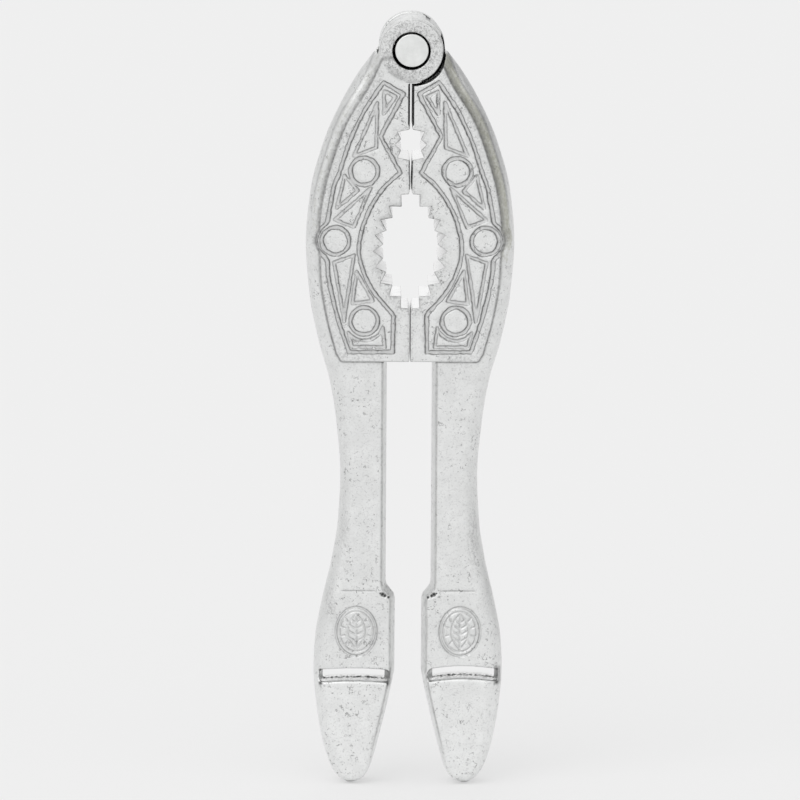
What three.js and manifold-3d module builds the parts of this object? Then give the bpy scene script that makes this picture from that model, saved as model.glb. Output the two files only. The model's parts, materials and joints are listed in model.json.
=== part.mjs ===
// Hand nutcracker: two cast aluminium levers that turn on one pivot pin.
//
// Each lever is drawn in its own plane, in millimetres: x runs outwards from the closing line, y runs along
// the tool with the pivot at 0 and the handle tip below it, and z is the depth, with the front at +z.
// The finished tool stands on its handle tips: y turns into +Z up, and the front faces -Y.

import * as THREE from 'three';
import { mergeVertices } from 'three/addons/utils/BufferGeometryUtils.js';
import Module from 'manifold-3d';

const wasm = await Module();
wasm.setup();

// ---------------------------------------------------------------- driving dimensions, mm

const PIVOT_HEIGHT = 169.8; // from the handle tips up to the pivot axis
const HEAD_HALF_DEPTH = 7.0; // the head panels and the knuckle are 14 mm deep
const CLOSING_GAP = 0.3; // left between the two levers where they close on each other

const KNUCKLE_RADIUS = 7.65;
const KNUCKLE_CLEARANCE = 0.4; // round the knuckle, so that the other lever's head can swing past it
const TONGUE_HALF_DEPTH = 3.4;
const LAYER_GAP = 0.3; // between the tongue and each ear of the fork
const PIN_RADIUS = 3.85;
const PIN_HALF_LENGTH = 6.9;
const PIN_CHAMFER = 0.35;
const BORE_RADIUS = 4.3;

const HEAD_BOTTOM = -71.3;
// The wider gap between the heads, from the knuckle down to the small nut hole.
const THROAT_BOTTOM = -17.2;
const THROAT_HALF_WIDTH = 0.5;

// Nut holes. Each side is an arc of V notches whose points lie one angular step apart, in degrees.
const SMALL_HOLE = {
  centre: -21.35, halfWidth: 3.6, halfHeight: 3.5, arcRadius: 7.8, step: 22.3, toothDepth: 1.2, notches: 3,
};
const LARGE_HOLE = {
  centre: -45.85, halfWidth: 8.35, halfHeight: 13.1, arcRadius: 16.8, step: 12.7, toothDepth: 2.15, notches: 9,
};

// Opener slot through each grip.
const SLOT = { inner: 5.6, outer: 19.2, top: -142.0, bottom: -145.2, arch: 0.4 };

const LEVER_TOP = -0.8; // the lever's upper end, buried in the knuckle

// The lever's outer edge: [y, x]
const OUTER_EDGE = [
  [LEVER_TOP, 8.2], [-5.5, 11.7], [-12.4, 15.7], [-21.6, 19.7], [-33.0, 22.7], [-44.6, 23.7], [-56.1, 22.9],
  [-67.6, 20.7], [-76.8, 18.1], [-86.0, 16.6], [-98.5, 15.6], [-109.0, 16.1], [-118.2, 17.5],
  [-127.4, 19.6], [-136.6, 21.2], [-143.5, 21.5], [-152.6, 20.7], [-160.0, 19.4], [-163.6, 18.3],
  [-166.4, 17.2], [-168.5, 15.7], [-PIVOT_HEIGHT, 13.8],
];

// The lever's inner edge below the head: [y, x]
const INNER_EDGE = [
  [LEVER_TOP, 6.0], [-12.0, 6.0], [-70.0, 5.1], [-122.8, 5.1], [-123.6, 5.0], [-126.4, 3.1], [-127.2, 3.0],
  [-143.6, 3.0], [-145.4, 3.3], [-159.5, 6.5], [-163.6, 7.7], [-166.4, 8.7], [-168.5, 10.1],
  [-PIVOT_HEIGHT, 11.4],
];

// Half the lever's depth outside the head panel: [y, z]
const HALF_DEPTH = [
  [LEVER_TOP, 4.6], [-46.0, 4.6], [-64.0, 5.5], [-72.0, 5.6], [-123.4, 5.6], [-124.4, 5.9], [-142.0, 4.9],
  [-158.0, 4.5], [-166.0, 4.4], [-168.8, 4.3], [-PIVOT_HEIGHT, 3.9],
];

// How far the lever's outer shoulder is rounded over, across its width: [y, x]
const SHOULDER = [
  [LEVER_TOP, 1.8], [-46.0, 2.0], [-70.0, 3.2], [-100.0, 3.6], [-140.0, 3.6], [-164.0, 2.2],
  [-PIVOT_HEIGHT, 0.6],
];
const INNER_DRAFT = 0.9; // how far the inner wall leans out from the middle of its depth to its edge
const MAX_DRAFT = 0.2; // the most of its width that it leans over, where the lever is narrow

// The raised head panel's outer edge, from the knuckle round to the closing line: [x, y]
const PANEL_EDGE = [
  [6.6, -2.6], [9.5, -8.0], [14.7, -16.7], [18.7, -28.0], [20.1, -34.8], [20.7, -39.6], [21.4, -43.5],
  [20.8, -50.0], [18.5, -61.7], [16.2, -69.8],
];
const PANEL_CORNER = [15.6, HEAD_BOTTOM];

const HOLE_VEE = 0.6; // height of the small V where a nut hole meets the closing line
const CUT_MARGIN = 1.0; // how far a cut runs past the metal

// Levels of fineness
const KNUCKLE_SIDES = 48;
const SHOULDER_STEPS = 4;
const PANEL_EDGE_STEPS = 3;
const WELD_DISTANCE = 1e-4;
// Where the lever's cross-sections lie: each stretch runs down to a y, in equal steps.
const STRETCHES = [
  { to: -72.0, steps: 18 }, // the head
  { to: -122.4, steps: 9 }, // the neck
  { to: -127.6, steps: 6 }, // the step out to the grip
  { to: -143.2, steps: 4 }, // the grip
  { to: -146.0, steps: 2 }, // the start of its taper
  { to: -160.0, steps: 4 }, // the taper
  { to: -PIVOT_HEIGHT, steps: 8 }, // the rounded tip
];

// ---------------------------------------------------------------- shared geometry

// A smooth curve through [position, value] keys, falling in position.
function valueAt(keys, position) {
  let i = 0;
  while (i < keys.length - 2 && position < keys[i + 1][0]) {
    i += 1;
  }
  const slope = (a, b) => (b[1] - a[1]) / (b[0] - a[0]);
  const [from, to] = [keys[i], keys[i + 1]];
  const span = to[0] - from[0];
  const through = slope(from, to);
  // A key's slope is zero where the values on both sides turn back, which keeps level stretches level.
  const slopeAtKey = (before, here, after) => {
    if (!before || !after) {
      return through;
    }
    const [left, right] = [slope(before, here), slope(here, after)];
    return left * right <= 0 ? 0 : (2 * left * right) / (left + right);
  };
  const slopeFrom = slopeAtKey(keys[i - 1], from, to) * span;
  const slopeTo = slopeAtKey(from, to, keys[i + 2]) * span;
  const t = THREE.MathUtils.clamp((position - from[0]) / span, 0, 1);
  const rise = to[1] - from[1];
  const cubic = slopeFrom + slopeTo - 2 * rise;
  const square = 3 * rise - 2 * slopeFrom - slopeTo;
  return from[1] + t * (slopeFrom + t * (square + t * cubic));
}

function solidFrom(geometry) {
  const plain = geometry.clone();
  plain.deleteAttribute('normal');
  plain.deleteAttribute('uv');
  const merged = mergeVertices(plain, WELD_DISTANCE);
  return new wasm.Manifold(new wasm.Mesh({
    numProp: 3,
    vertProperties: new Float32Array(merged.attributes.position.array),
    triVerts: new Uint32Array(merged.index.array),
  }));
}

// An outline of [x, y] points pushed through the depth from low to high.
function slab(points, low, high) {
  const shape = new THREE.Shape(points.map(([x, y]) => new THREE.Vector2(x, y)));
  const geometry = new THREE.ExtrudeGeometry(shape, { depth: high - low, bevelEnabled: false });
  return solidFrom(geometry.translate(0, 0, low));
}

function circle(radius, sides = KNUCKLE_SIDES) {
  const points = [];
  for (let i = 0; i < sides; i += 1) {
    const angle = (2 * Math.PI * (i + 0.5)) / sides;
    points.push([radius * Math.cos(angle), radius * Math.sin(angle)]);
  }
  return points;
}

const pivotDisc = (radius, low, high) => slab(circle(radius), low, high);

// Closed rings of points, one above the other, joined into a skin with flat ends.
function loft(rings) {
  const count = rings[0].length;
  const positions = rings.flat(2);
  const index = [];
  for (let r = 0; r < rings.length - 1; r += 1) {
    for (let i = 0; i < count; i += 1) {
      const [a, b] = [r * count + i, r * count + ((i + 1) % count)];
      index.push(a, b, a + count, b, b + count, a + count);
    }
  }
  const last = (rings.length - 1) * count;
  for (let i = 1; i < count - 1; i += 1) {
    index.push(0, i + 1, i, last, last + i, last + i + 1);
  }
  const geometry = new THREE.BufferGeometry();
  geometry.setAttribute('position', new THREE.Float32BufferAttribute(positions, 3));
  geometry.setIndex(index);
  return solidFrom(geometry);
}

// ---------------------------------------------------------------- the lever

// One cross-section of the lever: a leaning inner wall, flat front and back, and a rounded outer shoulder.
function section(y) {
  const inner = valueAt(INNER_EDGE, y);
  const outer = valueAt(OUTER_EDGE, y);
  const depth = valueAt(HALF_DEPTH, y);
  const shoulder = valueAt(SHOULDER, y);
  const half = [[outer, 0]];
  for (let i = 1; i <= SHOULDER_STEPS; i += 1) {
    const angle = (i / SHOULDER_STEPS) * (Math.PI / 2);
    half.push([outer - shoulder * (1 - Math.cos(angle)), depth * Math.sin(angle)]);
  }
  half.push([inner + Math.min(INNER_DRAFT, MAX_DRAFT * (outer - inner)), depth]);
  half.push([inner, 0]);
  const back = half.slice(1, -1).reverse().map(([x, z]) => [x, -z]);
  return [...half, ...back].map(([x, z]) => [x, y, z]);
}

function leverBody() {
  const stations = [LEVER_TOP];
  for (const { to, steps } of STRETCHES) {
    const from = stations.at(-1);
    for (let i = 1; i <= steps; i += 1) {
      stations.push(from + ((to - from) * i) / steps);
    }
  }
  return loft(stations.map(section));
}

// The raised head panel, with its ornament left to the surface finish.
function headPanel() {
  const edge = new THREE.SplineCurve(PANEL_EDGE.map(([x, y]) => new THREE.Vector2(x, y)));
  const outer = edge.getPoints(PANEL_EDGE_STEPS * (PANEL_EDGE.length - 1)).map(({ x, y }) => [x, y]);
  const inside = CLOSING_GAP / 2;
  const outline = [[inside, PANEL_EDGE[0][1]], ...outer, PANEL_CORNER, [inside, HEAD_BOTTOM]];
  return slab(outline, -HEAD_HALF_DEPTH, HEAD_HALF_DEPTH);
}

// The cut for half a nut hole: V notches evenly spaced along an arc, with a tooth between each two.
function toothedCut({ centre, halfWidth, halfHeight, arcRadius, step, toothDepth, notches }) {
  const faces = CLOSING_GAP / 2;
  const upperEnd = [
    [-CUT_MARGIN, halfHeight], [-CUT_MARGIN, halfHeight + HOLE_VEE], [faces, halfHeight + HOLE_VEE],
    [faces + HOLE_VEE / 2, halfHeight],
  ];
  const teeth = [];
  for (let i = 0; i < 2 * notches - 1; i += 1) {
    const angle = THREE.MathUtils.degToRad(((notches - 1 - i) / 2) * step);
    const radius = i % 2 === 1 ? arcRadius - toothDepth : arcRadius;
    teeth.push([halfWidth - arcRadius + radius * Math.cos(angle), radius * Math.sin(angle)]);
  }
  const lowerEnd = upperEnd.map(([x, y]) => [x, -y]).reverse();
  const outline = [...upperEnd, ...teeth, ...lowerEnd].map(([x, y]) => [x, centre + y]);
  return slab(outline, -HEAD_HALF_DEPTH - CUT_MARGIN, HEAD_HALF_DEPTH + CUT_MARGIN);
}

function box(left, right, bottom, top, halfDepth) {
  return slab([[left, bottom], [right, bottom], [right, top], [left, top]], -halfDepth, halfDepth);
}

function gripSlot() {
  const { inner, outer, top, bottom, arch } = SLOT;
  const third = (outer - inner) / 3;
  const outline = [
    [inner, bottom], [outer, bottom], [outer, top], [outer - third, top + arch], [inner + third, top + arch],
    [inner, top],
  ];
  return slab(outline, -HEAD_HALF_DEPTH, HEAD_HALF_DEPTH);
}

// Everything that the two levers have in common: all but the knuckle.
function leverWithoutKnuckle() {
  const cuts = [
    box(-CUT_MARGIN, THROAT_HALF_WIDTH, THROAT_BOTTOM, 0, HEAD_HALF_DEPTH + CUT_MARGIN),
    toothedCut(SMALL_HOLE),
    toothedCut(LARGE_HOLE),
    gripSlot(),
  ];
  return cuts.reduce((lever, cut) => lever.subtract(cut), leverBody().add(headPanel()));
}

const bore = () => pivotDisc(BORE_RADIUS, -HEAD_HALF_DEPTH - CUT_MARGIN, HEAD_HALF_DEPTH + CUT_MARGIN);

// The tongue: the middle layer of the knuckle, with the head cut away in front of it and behind it.
function rightLever() {
  const clearance = KNUCKLE_RADIUS + KNUCKLE_CLEARANCE;
  const outside = HEAD_HALF_DEPTH + CUT_MARGIN;
  return leverWithoutKnuckle()
    .subtract(pivotDisc(clearance, TONGUE_HALF_DEPTH, outside))
    .subtract(pivotDisc(clearance, -outside, -TONGUE_HALF_DEPTH))
    .add(pivotDisc(KNUCKLE_RADIUS, -TONGUE_HALF_DEPTH, TONGUE_HALF_DEPTH))
    .subtract(bore());
}

// The fork: the front and rear ears, with a gap for the tongue between them.
function leftLever() {
  const halfGap = TONGUE_HALF_DEPTH + LAYER_GAP;
  return leverWithoutKnuckle()
    .rotate([0, 180, 0])
    .add(pivotDisc(KNUCKLE_RADIUS, -HEAD_HALF_DEPTH, HEAD_HALF_DEPTH))
    .subtract(pivotDisc(KNUCKLE_RADIUS + KNUCKLE_CLEARANCE, -halfGap, halfGap))
    .subtract(bore());
}

function pivotPin() {
  const end = PIN_HALF_LENGTH;
  const profile = [
    [0, -end], [PIN_RADIUS - PIN_CHAMFER, -end], [PIN_RADIUS, PIN_CHAMFER - end],
    [PIN_RADIUS, end - PIN_CHAMFER], [PIN_RADIUS - PIN_CHAMFER, end], [0, end],
  ];
  const lathe = new THREE.LatheGeometry(profile.map(([r, y]) => new THREE.Vector2(r, y)), KNUCKLE_SIDES);
  return solidFrom(lathe.rotateX(Math.PI / 2));
}

// ---------------------------------------------------------------- the assembly

function meshFrom(name, solid, material) {
  const { vertProperties, triVerts } = solid.getMesh();
  const geometry = new THREE.BufferGeometry();
  geometry.setAttribute('position', new THREE.BufferAttribute(vertProperties, 3));
  geometry.setIndex(new THREE.BufferAttribute(triVerts, 1));
  geometry.computeVertexNormals();
  const mesh = new THREE.Mesh(geometry, material);
  mesh.name = name;
  return mesh;
}

const castAluminium = (color) => new THREE.MeshStandardMaterial({ color, roughness: 0.45, metalness: 0.85 });

const nutcracker = new THREE.Group();
nutcracker.add(
  meshFrom('left_lever', leftLever(), castAluminium(0xc9cbca)),
  meshFrom('right_lever', rightLever(), castAluminium(0xc6c8c6)),
  meshFrom('pivot_pin', pivotPin(), castAluminium(0xd3d6d5)),
);
nutcracker.rotation.x = Math.PI / 2;
nutcracker.position.z = PIVOT_HEIGHT;
nutcracker.updateMatrixWorld(true);

export default nutcracker;
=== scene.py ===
"""The looks of a cast aluminium nutcracker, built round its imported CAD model.

Each lever is drawn as a field of distances in its own plane, in millimetres: x runs outwards from the
closing line, y along the tool with the pivot at 0, and z is the depth, with the front at +z. The zero
level of the field becomes the mesh, so drafted walls, fillets, engraved lines and teeth are all geometry.
"""

import json
import math

import bpy
import numpy as np
from mathutils import Matrix, Vector


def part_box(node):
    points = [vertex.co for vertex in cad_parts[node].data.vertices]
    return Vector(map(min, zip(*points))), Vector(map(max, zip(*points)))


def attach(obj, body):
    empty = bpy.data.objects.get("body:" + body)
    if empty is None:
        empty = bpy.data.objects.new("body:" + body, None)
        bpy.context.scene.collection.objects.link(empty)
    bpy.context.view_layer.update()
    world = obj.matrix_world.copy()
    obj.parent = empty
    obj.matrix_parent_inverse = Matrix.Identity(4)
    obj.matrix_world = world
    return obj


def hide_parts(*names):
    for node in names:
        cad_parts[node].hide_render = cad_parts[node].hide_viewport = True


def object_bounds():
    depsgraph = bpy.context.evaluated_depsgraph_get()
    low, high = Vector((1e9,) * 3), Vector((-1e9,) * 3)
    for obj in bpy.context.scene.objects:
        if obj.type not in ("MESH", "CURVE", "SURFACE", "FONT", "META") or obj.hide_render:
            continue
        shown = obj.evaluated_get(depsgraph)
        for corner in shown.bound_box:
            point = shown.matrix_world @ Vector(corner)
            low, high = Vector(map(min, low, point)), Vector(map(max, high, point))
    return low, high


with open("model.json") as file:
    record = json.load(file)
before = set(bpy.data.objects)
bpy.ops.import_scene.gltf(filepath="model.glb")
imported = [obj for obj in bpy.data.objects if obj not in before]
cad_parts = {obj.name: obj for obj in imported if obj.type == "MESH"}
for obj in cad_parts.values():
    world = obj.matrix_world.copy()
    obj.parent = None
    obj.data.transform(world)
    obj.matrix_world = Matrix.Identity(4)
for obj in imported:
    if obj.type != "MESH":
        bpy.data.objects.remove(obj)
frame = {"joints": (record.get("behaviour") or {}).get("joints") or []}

CAD_LOW, CAD_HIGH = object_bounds()
MM = 0.001
SEED = 7

# ---------------------------------------------------------------- sizes, mm

HINGE = frame["joints"][0]
PIVOT_HEIGHT = HINGE["pos_m"][2] / MM
HEAD_HALF_DEPTH = CAD_HIGH.y / MM
PIN_LOW, PIN_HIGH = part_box("pivot_pin")
PIN_RADIUS = (PIN_HIGH.x - PIN_LOW.x) / 2 / MM - 0.02
PIN_HALF_LENGTH = (PIN_HIGH.y - PIN_LOW.y) / 2 / MM

RING_RISE = 0.2  # the casting's ring and bore sit a little above the pivot axis
KNUCKLE_RADIUS = CAD_HIGH.z / MM - PIVOT_HEIGHT - RING_RISE - 0.02
KNUCKLE_LEAN = 0.035  # the castings are drafted, so the knuckle narrows towards its faces
RING_FACE_RADIUS = KNUCKLE_RADIUS - KNUCKLE_LEAN * HEAD_HALF_DEPTH
KNUCKLE_CLEARANCE = 0.4  # round the knuckle, so that the other lever's head can swing past it
CRESCENT_OFFSET = 1.06  # the right head is hollowed further, most on its slant below the knuckle
CRESCENT_RADIUS = 6.65
TONGUE_HALF_DEPTH = 3.4
TONGUE_RADIUS = 7.3
TONGUE_OFFSET = (0.3, 0.05)
FRONT_EAR_INNER = 3.46  # the tongue sits close behind the front ear
REAR_EAR_INNER = -3.95  # and has its play in front of the rear ear
BORE_RADIUS = 4.32
REAR_BORE_RADIUS = 3.88  # the pin is held tight in the rear ear
BORE_CHAMFER = 0.08
KNUCKLE_EDGE = 0.1  # the rounding of the knuckle's own edges
PIN_OFFSET = (0.08, 0.27)

# Cell sizes of the field across the tool, along it and through its depth.
FINE_STEP = (0.15, 0.15, 0.28)
STEP = FINE_STEP
LEVER_TRIANGLES = 180_000

# The lever's outer edge at the middle of its depth: (y, x)
OUTER_EDGE = [
    (-0.8, 8.2), (-5.5, 11.7), (-12.4, 15.7), (-21.6, 19.7), (-33.0, 22.7), (-44.6, 23.7), (-56.1, 22.9),
    (-67.6, 20.7), (-76.8, 18.1), (-86.0, 16.6), (-98.5, 15.6), (-109.0, 16.1), (-118.2, 17.5),
    (-127.4, 19.6), (-136.6, 21.2), (-143.5, 21.5), (-152.6, 20.7), (-160.0, 19.4), (-163.6, 18.4),
    (-166.4, 17.3), (-168.5, 15.8), (-PIVOT_HEIGHT, 13.7),
]
# Its inner edge, hidden in the head as far as the head's bottom: (y, x)
INNER_EDGE = [
    (-0.8, 6.0), (-12.0, 6.0), (-70.0, 5.1), (-122.8, 5.1), (-123.6, 5.0), (-126.4, 3.1), (-127.2, 3.0),
    (-143.6, 3.0), (-145.4, 3.3), (-159.5, 6.5), (-163.6, 7.6), (-166.4, 8.5), (-168.5, 9.9),
    (-PIVOT_HEIGHT, 11.6),
]
# Half the depth outside the head panel: (y, z)
HALF_DEPTH = [
    (-0.8, 4.6), (-46.0, 4.6), (-64.0, 5.5), (-72.0, 5.6), (-123.4, 5.55), (-124.4, 5.55), (-142.0, 4.8),
    (-158.0, 4.45), (-165.5, 4.35), (-PIVOT_HEIGHT, 4.25),
]
# How far the outer shoulder is rounded over: (y, x)
SHOULDER = [
    (-0.8, 1.8), (-46.0, 2.0), (-70.0, 3.2), (-100.0, 3.6), (-140.0, 3.6), (-162.0, 2.6),
    (-PIVOT_HEIGHT, 1.9),
]
# How much the inner wall leans out, per millimetre of depth, and how its edge is rounded: (y, value)
INNER_LEAN = [(-70.0, 0.16), (-125.0, 0.16), (-135.0, 0.2), (-160.0, 0.18), (-PIVOT_HEIGHT, 0.06)]
EDGE_ROUND = [(-70.0, 0.35), (-122.0, 0.35), (-140.0, 0.5), (-160.0, 0.8), (-PIVOT_HEIGHT, 1.0)]
# The width of the cove between the head panel's wall and the lever's shoulder: (y, value)
COVE = [(-0.8, 0.5), (-55.0, 0.5), (-66.0, 0.4), (-80.0, 0.3)]

PANEL_EDGE = [
    (6.3, -1.5), (9.3, -8.0), (14.5, -16.7), (18.4, -28.0), (19.9, -34.8), (20.4, -39.0),
]
PANEL_EDGE_LOWER = [(20.3, -48.2), (20.0, -53.5), (18.6, -61.7), (16.5, -69.6)]
PANEL_BOTTOM = -71.3
# How far the panel's wall slopes outwards, per millimetre below its face: (y, value)
PANEL_SLOPE = [(-0.8, 0.62), (-42.0, 0.62), (-60.0, 0.25), (-80.0, 0.1)]
PANEL_RISE = 2.5  # the wall ends this far below the face, inside the lever's own shoulder
PANEL_EDGE_ROUND = 0.12
PANEL_INSET = 0.07  # the panel's faces lie this far inside the CAD model's
RING_INSET = 0.02

# Ornament: three bosses, a border round them and small engraved fields between, as (x, y).
BOSSES = [(10.62, -27.5), (17.05, -43.5), (10.4, -61.95)]
BOSS_GROOVE_RADIUS = 3.13
BORDER_ROUND_BOSS = 4.4
PANEL_ROUND_BOSS = 4.15  # the border runs out into the channel beside the boss
GROOVE_HALF_WIDTH = 0.44
GROOVE_DEPTH = 0.45
FIELD_GROOVE_HALF_WIDTH = 0.36

CLOSING_X = 0.11
THROAT_X = 0.16
THROAT_LEAN = 0.066
THROAT_BOTTOM = -17.0
# Where the closing faces' edges are worn back, and by how much per millimetre of depth; and where the
# faces stand apart, and by how much.
WORN_MIDDLE = -28.5
WORN_BACK = 0.2
WORN_FROM_DEPTH = 5.6
PARTED_MIDDLE = -26.0
PARTED = 0.1

# Nut holes: each side is an arc of V notches one angular step apart, in degrees.
SMALL_HOLE = dict(
    centre=-21.35, half_width=3.6, half_height=3.5, arc_radius=7.8, step=22.3, depth=1.25, notches=3, vee=0.6
)
LARGE_HOLE = dict(
    centre=-45.85, half_width=8.35, half_height=13.1, arc_radius=16.8, step=12.7, depth=2.15,
    notches=9, vee=0.8,
)
HOLE_LEAN = 0.012
HOLE_EDGE_ROUND = 0.16
WALL_HALF_DEPTH = 6.7  # as deep as a hole's wall is painted; its rim lies beyond

SLOT_CENTRES = {"left": (12.3, -144.75), "right": (12.7, -144.45)}
SLOT_HALF_WIDTH = 7.0  # at the middle of the depth; the ends and the lips lean out from there
SLOT_END_LEAN = 0.27
SLOT_HALF_HEIGHT = 1.14
SLOT_UPPER_LEAN = 0.12
SLOT_LOWER_LEAN = 0.02
SLOT_ARCH = {"left": 0.3, "right": 0.6}
SLOT_CORNER = 0.25  # the corners' radius at the middle of the depth
SLOT_CORNER_LEAN = 0.2
SLOT_LOWER_LIP = 0.8
SLOT_UPPER_LIP = 0.5
# The ragged burr on the slot's lower wall
BURR_SPACING = 0.35
BURR_LEAST = 0.05
BURR_SPREAD = 0.35
BURR_THICKNESS = 0.5
# The pits where the grip's inner corner failed to fill: (x, y, radius)
CORNER_PITS = [(5.85, -125.45, 0.5), (5.35, -125.75, 0.42), (6.4, -125.2, 0.26), (4.5, -126.1, 0.34)]
PIT_DEPTH = 5.5

MEDALLION_CENTRE = (11.85, -134.1)
MEDALLION_RADII = (4.6, 5.7)
MEDALLION_DEPTH = 0.3

# The casting's uneven skin: how broad its swellings are, and how high
BROAD_SWELL = (1.6, 0.014)
FINE_SWELL = (0.45, 0.008)
GROOVE_WANDER = (0.35, 0.05)
LINE_REACH = 1.2  # no engraved line is wider than this from its middle
# A fine crease along the inner wall's edge, and another across the top of the grip
CREASE_DEPTH = 0.17
EDGE_CREASE = 0.16
EDGE_CREASE_INSET = 0.22
GRIP_CREASE = (11.4, -124.6)

# ---------------------------------------------------------------- shades and strengths

# How dark each painted shade is, from 0 to 1: in the gaps, pits, slot corners and ends, notch roots and
# creases, along the panel's and ring's edges and the channel's outer edge, and the painted contact shadow at
# the foot. The channel's shade and its outer line are darker on the right lever, which faces away from the
# light.
THROAT_DARK = 0.85
PIT_DARK = 0.9
SLOT_CORNER_DARK = 0.8
SLOT_END_DARK = 0.45
FOOT_SHADOW_DARK = 0.7
NOTCH_DARK = 0.75
CREASE_DARK = 0.75
PANEL_EDGE_DARK = 0.95
RING_EDGE_DARK = 0.9
REAR_LINE_DARK = {"left": 0.45, "right": 0.75}
CHANNEL_DARK = {"left": 0.4, "right": 0.85}

# What the metal is like where it is clean, and what it is mixed with elsewhere: its own grain, spots and
# stains, the greys and olive of painted shade in the lines, channel, burr and gaps, and a painted pale grey
# standing for light on the walls of the slot and the holes.
CAST_TINT = (0.895, 0.902, 0.897)
DULLED = 0.88
GRAIN_GREY = 0.5
SPOT_GREY = 0.2
STAIN_GREY = 0.3
CHANNEL_SHADE_OLIVE = (0.42, 0.42, 0.345, 1.0)
GROOVE_GREY = 0.42
LINE_SHADE_GREY = 0.19
PAINTED_PALE_WALL_GREY = 0.9
BURR_SHADE_GREY = 0.08
GAP_SHADE_GREY = 0.02
PIN_DULL = (0.78, 0.79, 0.78, 1.0)
PIN_BRIGHT = (0.87, 0.88, 0.87, 1.0)

SPOT_STRENGTH = 0.8
STAIN_STRENGTH = 0.6
GROOVE_STRENGTH = 0.3
CAST_ROUGHNESS = (0.34, 0.5)
PIN_ROUGHNESS = (0.32, 0.42)
GAP_ROUGHNESS = 0.8
RAW_SMOOTHING = 0.4
CAST_BUMP = 0.6
RAW_BUMP = 0.1
CAST_BUMP_HEIGHT = 0.00014  # metres
PIN_BUMP = 0.2
PIN_BUMP_HEIGHT = 0.00008  # metres


# ---------------------------------------------------------------- curves

def through(points, steps=6):
    """A smooth open curve through the points."""
    p = np.array(points, float)
    p = np.vstack([2 * p[0] - p[1], p, 2 * p[-1] - p[-2]])
    t = np.linspace(0, 1, steps, endpoint=False)[:, None]
    out = []
    for a, b, c, d in zip(p, p[1:], p[2:], p[3:]):
        out.append(b + 0.5 * t * (c - a + t * (2 * a - 5 * b + 4 * c - d + t * (3 * (b - c) + d - a))))
    return [tuple(v) for v in np.vstack([*out, p[-2]])]


def arc(centre, radius, start, end, steps=16):
    """Points on a circle, with the angles in degrees; radius may be a pair for an ellipse."""
    rx, ry = radius if isinstance(radius, tuple) else (radius, radius)
    angles = np.radians(np.linspace(start, end, steps + 1))
    return [(centre[0] + rx * math.cos(a), centre[1] + ry * math.sin(a)) for a in angles]


def profile(keys, y):
    """A smooth value through (position, value) keys, which doesn't overshoot between them."""
    x, v = np.array(sorted(keys), float).T
    slope = np.diff(v) / np.diff(x)
    left, right = slope[:-1], slope[1:]
    flat = left * right <= 0
    middle = np.where(flat, 0, 2 * left * right / np.where(flat, 1, left + right))
    m = np.concatenate([slope[:1], middle, slope[-1:]])
    y = np.clip(y, x[0], x[-1])
    i = np.clip(np.searchsorted(x, y) - 1, 0, len(x) - 2)
    span = x[i + 1] - x[i]
    t = (y - x[i]) / span
    rise = v[i + 1] - v[i]
    a, b = m[i] * span, m[i + 1] * span
    return v[i] + t * (a + t * (3 * rise - 2 * a - b + t * (a + b - 2 * rise)))


def toothed_outline(centre, half_width, half_height, arc_radius, step, depth, notches, vee):
    """Half a nut hole: V notches evenly spaced along an arc, with a tooth between each two."""
    top = [(-3.0, half_height + vee), (CLOSING_X, half_height + vee), (CLOSING_X + vee / 2, half_height)]
    teeth = []
    for i in range(2 * notches - 1):
        angle = math.radians((notches - 1 - i) / 2 * step)
        radius = arc_radius - (depth if i % 2 else 0.0)
        teeth.append((half_width - arc_radius + radius * math.cos(angle), radius * math.sin(angle)))
    bottom = [(x, -y) for x, y in reversed(top)]
    return [(x, centre + y) for x, y in top + teeth + bottom]


# ---------------------------------------------------------------- fields

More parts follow.
